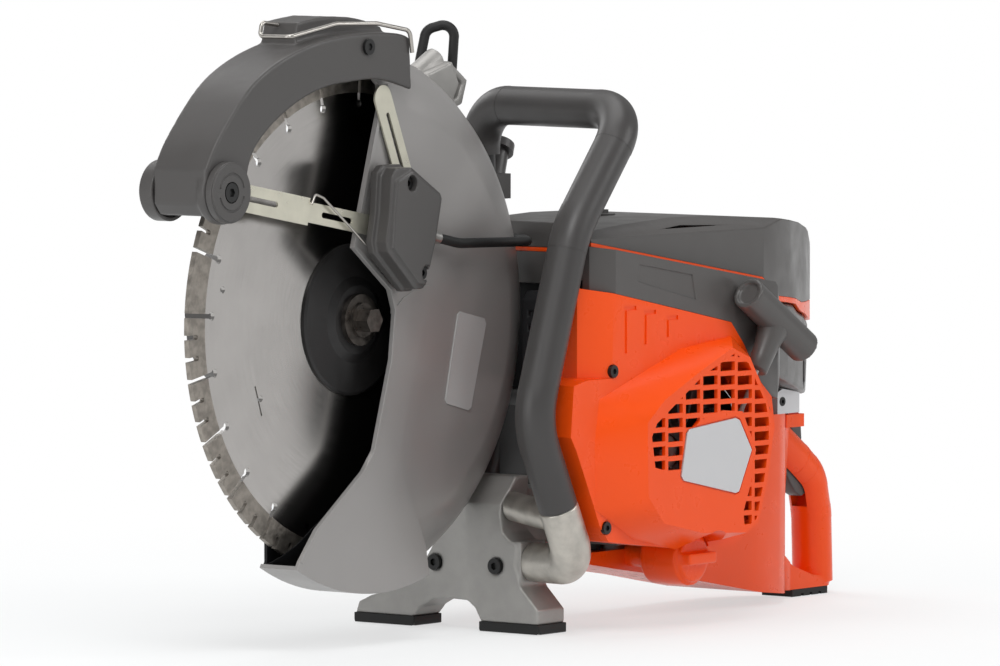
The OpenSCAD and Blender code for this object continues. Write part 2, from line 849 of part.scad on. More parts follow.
module muffler() {
    color([0.12, 0.12, 0.12])
        difference() {
            union() {
                // heat shield between the muffler and the cylinder
                translate([207.5, -72, -60])
                    cube([3, 99, 80]);
                slab(-74, -34)
                    polygon([[160, -50], [152, -40], [152, 8], [158, 14], [200, 14], [206, 8], [206, -44], [200, -50]]);
                translate([205, -60, -40])
                    cube([cyl_x0 - 205, 24, 40]);
            }
            for (i = [0 : 3])
                translate([150, -70, -34 + i * 10])
                    cube([5, 30, 4]);
        }
}

arm_y0 = 32;
hub_y0 = guard_far + 1.5;
arm_y1 = 46;
arm_a = atan2(crank_z, crank_x);
arm_len = norm([crank_x, crank_z]);
module cutting_arm() {
    color([0.45, 0.45, 0.45])
        difference() {
            union() {
                aim(arm_a)
                    slab(arm_y0, arm_y1)
                        polygon([[-14, -36], [14, -38], [arm_len - 60, -50], [arm_len + 50, -50], [arm_len + 50, 34],
                            [arm_len - 60, 38], [14, 38], [-14, 36], [-32, 20], [-38, 0], [-32, -20]]);
                ycyl(bearing_r, hub_y0, arm_y0 + 1);
                aim(arm_a)
                    slab(case_y1, arm_y0 + 1)
                        polygon([[arm_len - 44, -40], [arm_len + 44, -40], [arm_len + 44, 28], [arm_len - 44, 28]]);
            }
            ycyl(21.05, hub_y0 - 1, hub_y0 + 9.5);
            ycyl(21.05, arm_y1 - 10, arm_y1 + 1);
            ycyl(14, 0, arm_y1 + 1);
            ycyl(12 + run_gap, 0, arm_y1 + 1, crank_x, crank_z);
            // windows between the ribs
            aim(arm_a) {
                slab(arm_y0 + 4, arm_y1 + 1)
                    polygon([[56, -26], [118, -34], [118, 26], [56, 24]]);
                slab(arm_y0 + 4, arm_y1 + 1)
                    polygon([[126, -34], [arm_len - 66, -38], [arm_len - 66, 26], [126, 26]]);
            }
        }
}

module spindle_bearings() {
    color([0.65, 0.65, 0.65])
        for (y = [hub_y0 + 0.5, arm_y1 - 9])
            difference() {
                ycyl(21, y, y + 9);
                ycyl(spindle_r + run_gap, y - 1, y + 10);
                difference() {
                    ycyl(18, y - 1, y + 1);
                    ycyl(13, y - 2, y + 2);
                }
            }
}

cover_y1 = 104;
cover_t = 2.6;
cover_r1 = 54;
cover_r2 = 40;
module belt_outline(r1, r2) {
    // stadium round both pulleys, tapering to the crank end
    polygon(concat([for (a = [100 : 20 : 260]) [r1 * cos(a), r1 * sin(a)]],
        [for (a = [-80 : 20 : 80]) [arm_len + r2 * cos(a), r2 * sin(a)]]));
}

module belt_cover() {
    color([0.2, 0.2, 0.2])
        aim(arm_a)
            difference() {
                union() {
                    slab(arm_y1, cover_y1)
                        belt_outline(cover_r1, cover_r2);
                    ycyl(36, cover_y1, far_y, arm_len);
                }
                slab(arm_y1 - 1, cover_y1 - cover_t)
                    belt_outline(cover_r1 - cover_t, cover_r2 - cover_t);
                for (i = [-2 : 2])
                    translate([arm_len - 22, far_y - 3, i * 10 - 2])
                        cube([44, 5, 4]);
            }
}

belt_t = 3.4;
belt_lap = 0.15;
module drive_belt() {
    color([0.05, 0.05, 0.05])
        aim(arm_a)
            difference() {
                belt_loop(belt_t + pass_gap, belt_y0 + 1.6, belt_y1 - 1.6);
                belt_loop(pass_gap, belt_y0, belt_y1);
            }
}

module belt_loop(grow, y0, y1) {
    a = asin((driven_r - drive_r) / arm_len);
    r1 = driven_r + grow;
    r2 = drive_r + grow;
    // the straight runs lie a little inside the round ends
    s1 = r1 - belt_lap;
    s2 = r2 - belt_lap;
    ycyl(r1, y0, y1);
    ycyl(r2, y0, y1, arm_len);
    slab(y0, y1)
        polygon([[s1 * sin(a), s1 * cos(a)], [arm_len + s2 * sin(a), s2 * cos(a)],
            [arm_len + s2 * sin(a), -s2 * cos(a)], [s1 * sin(a), -s1 * cos(a)]]);
}

drum_y0 = 50;
module clutch_drum() {
    color([0.4, 0.4, 0.4])
        translate([crank_x, 0, crank_z])
            difference() {
                union() {
                    ycyl(33, drum_y0, drum_y0 + 14);
                    pulley_body(drive_r, 12 + run_gap);
                    ycyl(15, drum_y0 + 13, belt_y0 + 1);
                }
                ycyl(30.5, drum_y0 - 1, drum_y0 + 12);
                ycyl(12 + run_gap, drum_y0 - 5, belt_y1 + 5);
            }
}

module clutch_hub() {
    color([0.35, 0.35, 0.35])
        translate([crank_x, 0, crank_z])
            difference() {
                ycyl(29.5, drum_y0 + 0.6, drum_y0 + 11);
                ycyl(12.05, drum_y0 - 1, drum_y0 + 14);
                for (a = [0, 120, 240])
                    aim(a)
                        translate([14, drum_y0 - 1, -1.2])
                            cube([20, 16, 2.4]);
            }
}

flywheel_y0 = -98;
module crankshaft() {
    color([0.55, 0.55, 0.55])
        translate([crank_x, 0, crank_z]) {
            ycyl(12, -86, 94);
            ycyl(30, -40, -31);
            ycyl(30, -19, -10);
        }
}

module flywheel() {
    color([0.5, 0.5, 0.5])
        translate([crank_x, 0, crank_z]) {
            difference() {
                ycyl(46, -84, -81);
                ycyl(12.05, -90, -70);
            }
            difference() {
                union() {
                    ycyl(22, -88, -84);
                    for (a = [0 : 24 : 336])
                        aim(a)
                            translate([20, flywheel_y0, -1])
                                cube([25, -84 - flywheel_y0, 2]);
                }
                ycyl(12.05, flywheel_y0 - 5, -70);
            }
        }
}

// ---------------------------------------------------------------- starter side
house_y0 = -112;
bulge_y0 = -135;
house_t = 3;
module house_outline() {
    polygon([[131, 19.3], [157, 15], [250, -3], [296, -12], [311, -28], [326, -48], [332, -57], [345, -68],
        [349, -90], [338, -128], [327, -159], [300, -172], [230, -170], [152, -160], [141.5, -148], [133, -130],
        [124, -112], [115, -94], [108.5, -84], [112, -48], [131, -44]]);
}

module bulge_outline() {
    polygon([[136, -88], [141, -59], [236, -28], [296, -22], [311, -40], [324, -62], [330, -90], [322, -130],
        [312, -158], [290, -165], [236, -172], [180, -160], [136, -136]]);
}

module bulge_face() {
    polygon([[175, -88], [167, -76], [187, -61], [228, -43], [267, -28], [288, -36], [309, -68], [317, -88],
        [309, -125], [298, -155], [284, -161], [232, -158], [186, -148], [168, -128]]);
}

module bulge(y0, inset) {
    hull() {
        slab(house_y0, house_y0 + 0.5)
            bulge_outline();
        slab(y0, y0 + 0.5)
            bulge_face();
    }
}

// the grille's openings: columns of rectangular slots inside one curved region
module grille_region() {
    polygon([[172, -86], [178, -77], [232, -46], [270, -32], [286, -40], [307, -70], [313, -90], [305, -124],
        [296, -152], [282, -158], [280, -146], [289, -126], [295, -102], [279, -74], [256, -72], [228, -78],
        [212, -90], [211, -116], [176, -108]]);
}

grille_x = [179, 199.5, 220, 240.5, 261, 281.5, 302];
grille_bar = 3.5;
module grille_slots() {
    intersection() {
        slab(bulge_y0 - 2, -110)
            grille_region();
        union() {
            for (x = grille_x)
                for (z = [-150 : 10 : -30])
                    translate([x - 20.5 / 2 + grille_bar / 2, bulge_y0 - 5, z - (x - 179) * 0.05])
                        cube([20.5 - grille_bar, 60, grille_slot_h]);
        }
    }
}

module starter_housing() {
    color([0.93, 0.33, 0.1])
        difference() {
            union() {
                slab(house_y0, case_y0)
                    house_outline();
                bulge(bulge_y0, 0);
            }
            // front corner bevelled beside the handle
            translate([0, 0, -45])
                linear_extrude(80)
                    polygon([[100, house_y0 - 5], [157, house_y0 - 5], [157, house_y0], [131, -100], [100, -100]]);
            // hollow inside, with the pulley's post left standing
            difference() {
                slab(house_y0 + house_t, case_y0 + 1)
                polygon([[160, 10.5], [249, -7], [294, -16], [308, -30], [323, -50], [329, -60], [341, -70],
                    [345, -90], [334, -127], [324, -156], [299, -168], [231, -166], [154, -156], [146, -147],
                    [137.5, -130], [128.5, -112], [119.5, -94], [113, -84], [116, -53], [160, -50]]);
                ycyl(post_r, bulge_y0, pulley_y0 + pulley_t, crank_x, crank_z);
            }
            difference() {
                translate([0, house_t, 0])
                    slab(bulge_y0, house_y0 + 4)
                    polygon([[180, -88], [176, -76], [192, -64], [230, -47], [266, -33], [284, -39], [304, -69],
                        [312, -88], [304, -124], [294, -151], [282, -156], [234, -153], [188, -143], [174, -127]]);
                ycyl(post_r, bulge_y0, pulley_y0 + pulley_t, crank_x, crank_z);
            }
            grille_slots();
            badge_seat();
            // three L-shaped sunk marks
            for (p = [[170, 5, 33], [193, 1, 24], [219, -4, 15]])
                translate([p[0], house_y0 - 1, p[1] - p[2]]) {
                    cube([3, 2, p[2]]);
                    translate([0, 0, p[2] - 3])
                        cube([14, 2, 3]);
                }
            yscrew_holes();
            // room for the handle's upper lug
            rod(lug_a, lug_b + 10 * unit(lug_b - lug_a), lug_r + 0.4);
            // scallop round the fuel cap
            ycyl(cap_r + 0.6, bulge_y0 - 5, case_y0 + 1, cap_x, cap_z);
            // rope outlet
            rod(rope_a, grip_c, rope_r + 1);
        }
}

house_screws = [[157, -40], [337, -78], [149, -150], [323, -148]];
module yscrew_holes() {
    for (p = house_screws)
        ycyl(5, house_y0 - 1, house_y0 + 1.6, p[0], p[1]);
}

badge = [[215, -82], [270, -77], [276, -79], [291, -102], [275, -132], [270, -133], [208, -120], [205, -116], [212, -85]];
module badge_seat() {
    slab(bulge_y0 - 1, bulge_y0 + 1)
        polygon(badge);
}

module starter_badge() {
    color([0.75, 0.75, 0.75])
        slab(bulge_y0 - 0.6, bulge_y0 + 1)
            polygon([[216, -83], [270, -78.2], [275, -80], [289.6, -102], [274.2, -131], [270, -131.8], [209, -119.2],
                [206.3, -116], [213, -86]]);
}

// the rope runs in the pulley's plane, straight from the pulley to the grip
grip_c = [333, -124.5, -12];
rope_r = 1.8;
winding_r = 14;
grip_v = [grip_c[0] - crank_x, grip_c[2] - crank_z];
rope_angle = atan2(grip_v[1], grip_v[0]) + asin(winding_r / norm(grip_v));
rope_u = [cos(rope_angle), 0, sin(rope_angle)];
rope_a = [crank_x + winding_r * sin(rope_angle), grip_c[1], crank_z - winding_r * cos(rope_angle)];
pulley_t = 9;
pulley_y0 = grip_c[1] - pulley_t / 2;
post_r = 5;
module starter_pulley() {
    color([0.3, 0.3, 0.3])
        translate([crank_x, 0, crank_z])
            difference() {
                union() {
                    ycyl(33, pulley_y0, pulley_y0 + 1.5);
                    ycyl(winding_r - rope_r - 0.2, pulley_y0, pulley_y0 + pulley_t);
                    ycyl(33, pulley_y0 + pulley_t - 1.5, pulley_y0 + pulley_t);
                }
                ycyl(post_r + run_gap, pulley_y0 - 1, pulley_y0 + pulley_t + 1);
            }
}

module starter_rope() {
    color([0.8, 0.8, 0.78])
        rod(rope_a, grip_c - 22 * rope_u, rope_r);
}

module pull_handle() {
    color([0.11, 0.11, 0.11])
        difference() {
            union() {
                translate(grip_c)
                    rotate([0, 90 + 32, 0])
                        translate([0, 0, -40])
                            cylinder(r = pull_d / 2, h = 80);
                rod(grip_c - 24 * rope_u, grip_c, 7.5);
            }
            rod(grip_c - 30 * rope_u, grip_c - 22 * rope_u, rope_r + 0.05);
            // finger hollows at both ends
            translate(grip_c)
                rotate([0, 90 + 32, 0])
                    for (s = [-1, 1])
                        translate([0, 0, s * 40 - 2])
                            cylinder(r = pull_d / 2 - 3.5, h = 4);
        }
}

// ---------------------------------------------------------------- covers
// seam between the cover and the parts below it
function seam_z(x) = 51 - 0.163 * (x - 145);
seam_x1 = 362;
cover_y0 = -100;
module cover_plan() {
    polygon([[147, cover_y0], [352, cover_y0], [400, -88], [455, -62], [490, -40], [502, -24], [506, 10], [500, 32],
        [480, 44], [204, 44], [198, 34], [196, -30], [186, -46], [160, -72], [150, -90]]);
}

module top_cover() {
    color([0.2, 0.195, 0.19])
        difference() {
            intersection() {
                slab(cover_y0 - 1, 60)
                    polygon([[140, seam_z(140)], [140, 52], [152, 58], [200, 61], [262, 63.5], [310, 63], [376, 59],
                        [430, 53], [470, 45], [488, 36], [494, 26], [498, 8], [500, -8], [440, -6], [420, -2],
                        [372, 3], [seam_x1, 10], [350, seam_z(350)]]);
                translate([0, 0, -100])
                    linear_extrude(200)
                        cover_plan();
            }
            // sloped shoulder above the near side
            translate([100, cover_y0, 53])
                rotate([32, 0, 0])
                    translate([0, -40, 0])
                        cube([450, 60, 40]);
            // hollow from below
            intersection() {
                slab(cover_y0 + 4, 40)
                    polygon([[202, -20], [202, 54], [262, 58], [376, 54], [430, 47], [466, 38], [484, 22], [490, -20]]);
                translate([0, 0, -100])
                    linear_extrude(200)
                        polygon([[202, -94], [350, -94], [398, -82], [450, -57], [482, -38], [494, -20], [498, 10],
                            [478, 38], [208, 38]]);
            }
            // slot and knob seat in the roof
            translate([332, -34, 50])
                cube([26, 9, 20]);
            translate([knob_c[0], knob_c[1], 60])
                cylinder(r = 13, h = 30);
            translate([knob_c[0], knob_c[1], 50])
                cylinder(r = 3 + run_gap, h = 30);
        }
}

knob_c = [262, -18];
module cover_knob() {
    color([0.12, 0.12, 0.12])
        translate([knob_c[0], knob_c[1], 0]) {
            translate([0, 0, 60])
                cylinder(r = 12.4, h = 4.4);
            translate([-9, -2.5, 64.4])
                cube([18, 5, 2.6]);
            translate([0, 0, 55])
                cylinder(r = 3, h = 6);
        }
}

stripe_h = 3;
module cover_stripe() {
    color([0.93, 0.33, 0.1])
        intersection() {
            difference() {
                slab(cover_y0 - 1, 60)
                    polygon([[140, seam_z(140)], [350, seam_z(350)], [seam_x1, 10], [372, 3], [420, -2], [440, -6],
                        [500, -8], [510, -8], [510, -26], [498, -24], [436, -12], [420, -6], [370, -0.6],
                        [seam_x1 - 2, 6], [350, seam_z(350) - stripe_h], [140, seam_z(140) - stripe_h]]);
                intersection() {
                    slab(cover_y0 + 3, 41)
                        polygon([[190, -40], [190, 80], [520, 80], [520, -40]]);
                    translate([0, 0, -100])
                        linear_extrude(200)
                            polygon([[200, -97], [350, -97], [399, -85], [452, -60], [486, -38], [499, -22], [503, 10],
                                [478, 41], [206, 41]]);
                }
            }
            translate([0, 0, -100])
                linear_extrude(200)
                    cover_plan();
        }
}

band_y0 = -112;
module side_band() {
    color([0.17, 0.165, 0.165])
        difference() {
            intersection() {
                slab(band_y0, cover_y0 + 6)
                    polygon([[145, seam_z(145) - stripe_h], [145, 17.2], [157, 15.2], [250, -2.8], [296, -11.8],
                        [311.2, -27.8], [326.2, -47.8], [332, -56.8], [345, -67.8], [352, -70],
                        [364, -54], [366, -10], [358, 5], [350, seam_z(350) - stripe_h]]);
                translate([0, 0, -100])
                    linear_extrude(200)
                        polygon([[145, -100], [160, band_y0], [352, band_y0], [366, -104], [366, -90], [145, -90]]);
            }
            // shallow recess left bare
            slab(band_y0 - 1, band_y0 + 0.8)
                polygon([[186, 22], [188, 34], [250, 24], [254, 6]]);
        }
}

module band_shroud() {
    // cooling shroud between the fan and the cylinder
    slab(case_y0 + 0.1, case_y0 + 3)
        polygon([[206, -46], [206, 4], [250, -6], [296, -15], [308, -30], [323, -50], [329, -60],
            [341, -70], [345, -90], [334, -127], [326, -150], [case_x1 + 0.5, -150], [case_x1 + 0.5, -74],
            [case_x1 - 8, -61], [206, -61]]);
}

module band_back() {
    // inner run of the dark band round the front of the engine bay
    difference() {
        intersection() {
            slab(cover_y0 + 6, 44)
                polygon([[140, seam_z(140) - stripe_h], [140, 26], [240, 10], [240, seam_z(240) - stripe_h]]);
            translate([0, 0, -100])
                linear_extrude(200)
                    cover_plan();
        }
        translate([0, 0, -100])
            linear_extrude(200)
                polygon([[152, -94.5], [164, -74], [190, -48], [200, -32], [202, 40], [260, 40], [260, -94.5]]);
    }
}

module filter_housing() {
    color([0.2, 0.195, 0.19])
        difference() {
            intersection() {
                slab(cover_y0, 30)
                    polygon([[366.5, -0.3], [420, -6.3], [436, -12.3], [498, -24.3], [496, -28], [486, -52], [474, -76],
                        [440, -70], [366.5, -54]]);
                translate([0, 0, -100])
                    linear_extrude(200)
                        polygon([[360, -96], [400, -86], [455, -60], [488, -39], [499, -22], [502, 10], [490, 30], [360, 30]]);
            }
            slab(-60, 24)
                polygon([[372, -10], [430, -16], [480, -28], [466, -64], [372, -50]]);
        }
}

// ---------------------------------------------------------------- tank and rear handle
frame_y0 = -58;
frame_y1 = 28;
tank_rear = 477;
module frame_outline() {
    // tank, its belly and the beam under the hand opening
    polygon([[192, frame_top], [192, -181], [233, -188], [329, -203], [405, -217], [443, -221],
        [480, base_z], [bar_low[0] + 4, base_z], [bar_low[0] + 12, base_z + 3], [bar_low[0] + 8, base_z + 6],
        [509, -213], [485, -205], [466, -193], [tank_rear, -99], [tank_rear - 8, -95], [456, -91.5], [454.5, -88], [352, -88],
        [352, -150], [340, frame_top]]);
}

module frame_plan() {
    // full width at the tank, then the narrower rear handle
    polygon([[190, frame_y0], [398, frame_y0], [430, -56], [446, -50], [470, -32], [480, -30], [480, grip_y - bar_r + 1],
        [bar_low[0], grip_y - bar_r + 1], [bar_low[0] + bar_r, grip_y - 6], [bar_low[0] + bar_r, grip_y + 6],
        [bar_low[0], grip_y + bar_r - 1], [480, grip_y + bar_r - 1], [480, 4], [466, 15], [444, 24],
        [404, frame_y1], [190, frame_y1]]);
}

module fuel_tank_frame() {
    color([0.93, 0.33, 0.1])
        difference() {
            union() {
                // seat of the stop switch and filler neck
                translate([switch_x - 5, -46, -100])
                    cube([22, 15, 100 + switch_z]);
                ycyl(9, cap_y + 22, frame_y0 + 1, cap_x, cap_z);
                intersection() {
                    slab(frame_y0, frame_y1)
                        frame_outline();
                    translate([0, 0, -300])
                        linear_extrude(400)
                            frame_plan();
                }
                tube(bar_pts, [0, 40, 24, 40, 0], bar_r);
            }
            ycyl(6, cap_y + 21, frame_y0 + 5, cap_x, cap_z);
            // slots of the trigger and the lockout
            slab(grip_y - 7, grip_y + 7)
                polygon([[473, -134], [475, -114], [490, -114], [508, -127], [523, -139], [524, -150], [517, -164],
                    [490, -160]]);
            slab(grip_y - 6, grip_y + 6)
                polygon([[472, -80], [473, -101], [486, -106], [492, -110], [494, -124], [508, -126], [516, -112],
                    [512, -96], [500, -78]]);
            ycyl(2.05, grip_y - 11, grip_y + 11, trigger_pivot[0], trigger_pivot[1]);
            ycyl(2.05, grip_y - 11, grip_y + 11, lockout_pivot[0], lockout_pivot[1]);
            // tank cavity
            slab(frame_y0 + 4, frame_y1 - 4)
                polygon([[200, -178], [330, -178], [345, -166], [358, -150], [362, -96], [420, -96], [424, -206],
                    [330, -198], [236, -184]]);
        }
}

module rear_foot() {
    color([0.06, 0.06, 0.06])
        difference() {
            translate([484, grip_y - 14, -axle_h])
                cube([44, 28, foot_t]);
            for (x = [495, 506, 517])
                translate([x, grip_y - 16, -axle_h - 1])
                    cube([3, 32, 3]);
        }
}

frame_top = -174;
module buffers() {
    color([0.06, 0.06, 0.06])
        for (x = [222, 292], y = [-40, 10])
            translate([x, y, frame_top])
                cylinder(r = 9, h = case_z0 - frame_top);
}

cap_x = 250;
cap_z = -178;
cap_y = -114;
cap_r = 20;
module fuel_cap() {
    color([0.93, 0.33, 0.1])
        difference() {
            union() {
                ycyl(cap_r, cap_y + 3, cap_y + 34, cap_x, cap_z);
                ycyl(cap_r - 3, cap_y, cap_y + 3, cap_x, cap_z);
                translate([cap_x - 16, cap_y - 8, cap_z - 4])
                    cube([32, 9, 8]);
            }
            ycyl(9 + run_gap, cap_y + 21.5, cap_y + 40, cap_x, cap_z);
        }
}

module throttle_block() {
    color([0.72, 0.72, 0.71])
        difference() {
            slab(-57, -46)
                polygon([[427, -88], [427, -72], [433, -69.6], [440, -70.8], [454, -73.4], [454, -88]]);
            ycyl(3.4, -60, -53, 433, -79);
        }
}

trigger_pivot = [483.5, -122];
module throttle_trigger() {
    color([0.1, 0.1, 0.1])
        difference() {
            slab(grip_y - 6, grip_y + 6)
                polygon([[479, -122], [481, -117.5], [487, -118], [500, -128], [512, -139], [514, -146], [512, -153],
                    [506, -155], [499, -152], [492, -144], [483, -131], [479.5, -126]]);
            ycyl(2 + run_gap, grip_y - 7, grip_y + 7, trigger_pivot[0], trigger_pivot[1]);
        }
}

lockout_pivot = [501.3, -117.2];
module throttle_lockout() {
    color([0.13, 0.13, 0.13])
        difference() {
            slab(grip_y - 5, grip_y + 5)
                polygon([[480, -94], [482, -88], [488, -86], [498, -90], [507, -100], [508, -112], [505.5, -120.5],
                    [498, -121], [496.5, -112], [495, -104], [486, -98]]);
            ycyl(2 + run_gap, grip_y - 6, grip_y + 6, lockout_pivot[0], lockout_pivot[1]);
        }
}

module grip_pins() {
    color([0.4, 0.4, 0.4]) {
        ycyl(2, grip_y - 11, grip_y + 11, trigger_pivot[0], trigger_pivot[1]);
        ycyl(2, grip_y - 11, grip_y + 11, lockout_pivot[0], lockout_pivot[1]);
    }
}

switch_x = 458;
switch_z = -90.5;
module stop_switch() {
    color([0.75, 0.08, 0.05])
        difference() {
            translate([switch_x, -44, switch_z])
                cube([13, 11, 9]);
            translate([switch_x - 1, -45, switch_z + 8])
                rotate([0, 28, 0])
                    cube([22, 13, 10]);
        }
}

lever_c = [253.8, 66.6, 113];
module water_valve() {
    color([0.12, 0.12, 0.12])
        difference() {
            union() {
                rod([238, 60, 86], [252, 66, 109], 8.5);
                rod([250, 65, 107], [253.5, 66.5, 112.5], 12);
                translate([far_leg[0] - 6, far_leg[1] - 16, 74])
                    cube([22, 32, 18]);
            }
            rod(tube_pts[4], tube_pts[5], tube_d / 2 + 0.05);
            rod(grip_pts[4], grip_far_end, grip_d / 2 + 0.3);
        }
}

module valve_lever() {
    color([0.12, 0.2, 0.55])
        translate(lever_c)
            rotate([0, 32, 23])
                difference() {
                    union() {
                        cylinder(r = 5, h = 3);
                        translate([0, -3, 0])
                            cube([17, 6, 3]);
                    }
                    translate([0, 0, -1])
                        cylinder(r = 1.5 + run_gap, h = 6);
                }
}

module machine_screws() {
    color([0.07, 0.07, 0.07]) {
        for (p = house_screws)
            yscrew(p[0], house_y0 + 1.6, p[1], 4.4, 3);
        for (y = [-22, 33])
            translate([stand_x + 2, y, -181])
                rotate([0, -90, 0])
                    difference() {
                        cylinder(r = 5.6, h = 4.4);
                        translate([0, 0, 2])
                            cylinder(r = 2.8, h = 5, $fn = 6);
                    }
        yscrew(433, -53, -79, 3.2, 4.5);
    }
}

place() blade_core();
place() blade_segments();
place() outer_flange();
place() inner_flange();
place() { blade_bolt(); blade_washer(); }
place() spindle();
place() driven_pulley();
place() guard_shell();
place() guard_back();
place() guard_liner();
place() guard_label_plate();
place() guard_bracket();
place() guard_hose();
place() hose_ferrule();
place() mechanism_box();
place() link_pins();
place() lower_inner_link();
place() link_wire();
place() lower_outer_link();
place() upper_link();
place() front_guard();
place() front_guard_clip();
place() { front_guard_screws(); roller_axle(); }
place() near_roller();
place() far_roller();
place() front_stand();
place() stand_pads();
place() handle_elbow();
place() handle_tube();
place() handle_grip();
place() crankcase();
place() engine_cylinder();
place() muffler();
place() cutting_arm();
place() spindle_bearings();
place() belt_cover();
place() drive_belt();
place() clutch_drum();
place() { crankshaft(); clutch_hub(); }
place() flywheel();
place() starter_housing();
place() starter_badge();
place() starter_pulley();
place() starter_rope();
place() pull_handle();
place() top_cover();
place() cover_knob();
place() cover_stripe();
place() { side_band(); band_back(); band_shroud(); }
place() filter_housing();
place() fuel_tank_frame();
place() { rear_foot(); buffers(); }  // rubber_mounts
place() fuel_cap();
place() throttle_block();
place() throttle_trigger();
place() throttle_lockout();
place() stop_switch();
place() water_valve();
place() valve_lever();
place() { machine_screws(); grip_pins(); }
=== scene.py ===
import math
import bpy
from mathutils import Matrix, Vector


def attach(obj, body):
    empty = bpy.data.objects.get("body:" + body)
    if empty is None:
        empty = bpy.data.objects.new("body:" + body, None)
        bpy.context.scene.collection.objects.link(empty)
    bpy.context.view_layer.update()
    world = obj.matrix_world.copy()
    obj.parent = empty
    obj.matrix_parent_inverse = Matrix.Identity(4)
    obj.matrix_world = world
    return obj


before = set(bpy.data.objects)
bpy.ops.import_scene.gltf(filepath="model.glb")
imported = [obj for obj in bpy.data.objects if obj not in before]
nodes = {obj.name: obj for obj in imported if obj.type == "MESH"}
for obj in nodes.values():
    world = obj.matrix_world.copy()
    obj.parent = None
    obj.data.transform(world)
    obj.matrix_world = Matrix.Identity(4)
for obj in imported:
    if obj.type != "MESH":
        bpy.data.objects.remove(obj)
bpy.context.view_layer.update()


# The construction is drawn in millimetres about the blade's centre. The part's own frame is
# in metres, and its origin is on the ground under the middle of the part.
MM_PER_M = 1000
MID_X, MID_Y, AXLE_H = 172.25, -9.25, 228.0


def at(x, y, z):
    """A place of the construction, in the part's own frame."""
    return Vector(((x - MID_X) / MM_PER_M, (y - MID_Y) / MM_PER_M, (z + AXLE_H) / MM_PER_M))


def show(thing):
    bpy.context.scene.collection.objects.link(thing)


# ---------------------------------------------------------------- camera
VIEW_YAW = math.radians(51.8655)
VIEW_PITCH = math.radians(3.5994)


def set_camera():
    forward = Vector((math.sin(VIEW_YAW) * math.cos(VIEW_PITCH), math.cos(VIEW_YAW) * math.cos(VIEW_PITCH),
                      -math.sin(VIEW_PITCH)))
    optics = bpy.data.cameras.new("camera")
    optics.sensor_width = 36
    optics.lens = 316.184
    optics.clip_end = 60
    camera = bpy.data.objects.new("camera", optics)
    camera.location = at(-4738.3524, -3854.0727, 374.6221)
    camera.rotation_euler = forward.to_track_quat("-Z", "Y").to_euler()
    show(camera)
    bpy.context.scene.camera = camera


set_camera()
bpy.context.scene.view_settings.view_transform = "Standard"


# ---------------------------------------------------------------- shader pieces
MIX_A, MIX_B, MIX_RESULT = 6, 7, 2  # the colour sockets of a Mix node


def texture_place(nt):
    return nt.nodes.new("ShaderNodeTexCoord").outputs["Object"]


def noise(nt, vector, scale, detail):
    n = nt.nodes.new("ShaderNodeTexNoise")
    n.inputs["Scale"].default_value = scale
    n.inputs["Detail"].default_value = detail
    nt.links.new(vector, n.inputs["Vector"])
    return n.outputs["Fac"]


def spread(nt, value, low, high, to_low=0.0, to_high=1.0):
    """Map low..high of a value to to_low..to_high."""
    n = nt.nodes.new("ShaderNodeMapRange")
    n.inputs["From Min"].default_value = low
    n.inputs["From Max"].default_value = high
    n.inputs["To Min"].default_value = to_low
    n.inputs["To Max"].default_value = to_high
    nt.links.new(value, n.inputs["Value"])
    return n


def vary_roughness(nt, bsdf, value, low, high):
    ranged = spread(nt, value, 0.3, 0.7, low, high)
    nt.links.new(ranged.outputs["Result"], bsdf.inputs["Roughness"])


def vary_colour(nt, bsdf, value, rgb, darkest, lightest):
    """Let the base colour run between two multiples of rgb."""
    mix = nt.nodes.new("ShaderNodeMix")
    mix.data_type = "RGBA"
    mix.inputs[MIX_A].default_value = (*[c * darkest for c in rgb], 1)
    mix.inputs[MIX_B].default_value = (*[min(1, c * lightest) for c in rgb], 1)
    nt.links.new(value, mix.inputs[0])
    nt.links.new(mix.outputs[MIX_RESULT], bsdf.inputs["Base Color"])


def add_bump(nt, bsdf, height, strength, distance):
    n = nt.nodes.new("ShaderNodeBump")
    n.inputs["Strength"].default_value = strength
    n.inputs["Distance"].default_value = distance
    nt.links.new(height, n.inputs["Height"])
    nt.links.new(n.outputs["Normal"], bsdf.inputs["Normal"])


def math_node(nt, kind, *terms):
    """A Math node whose terms are numbers or outputs of other nodes."""
    n = nt.nodes.new("ShaderNodeMath")
    n.operation = kind
    for socket, term in zip(n.inputs, terms):
        if isinstance(term, (int, float)):
            socket.default_value = term
        else:
            nt.links.new(term, socket)
    return n.outputs[0]


# ---------------------------------------------------------------- materials
GRAIN_DEPTH = 0.0004
SCRATCH_DEPTH = 0.0002


def material(name, rgb, rough, metal=0.0, bump=0.0, bump_scale=900.0, rough_var=0.0, var_scale=30.0,
             tint=0.0, spec=0.5):
    """A plain finish, with optional fine grain, uneven roughness and uneven colour."""
    m = bpy.data.materials.new(name)
    m.use_nodes = True
    nt = m.node_tree
    bsdf = nt.nodes["Principled BSDF"]
    bsdf.inputs["Base Color"].default_value = (*rgb, 1)
    bsdf.inputs["Roughness"].default_value = rough
    bsdf.inputs["Metallic"].default_value = metal
    bsdf.inputs["Specular IOR Level"].default_value = spec
    if rough_var or tint:
        patches = noise(nt, texture_place(nt), var_scale, 6)
        if rough_var:
            vary_roughness(nt, bsdf, patches, max(0.02, rough - rough_var), min(1, rough + rough_var))
        if tint:
            share = spread(nt, patches, 0.35, 0.65).outputs["Result"]
            vary_colour(nt, bsdf, share, rgb, 1 - tint, 1 + tint)
    if bump:
        add_bump(nt, bsdf, noise(nt, texture_place(nt), bump_scale, 3), bump, GRAIN_DEPTH)
    return m


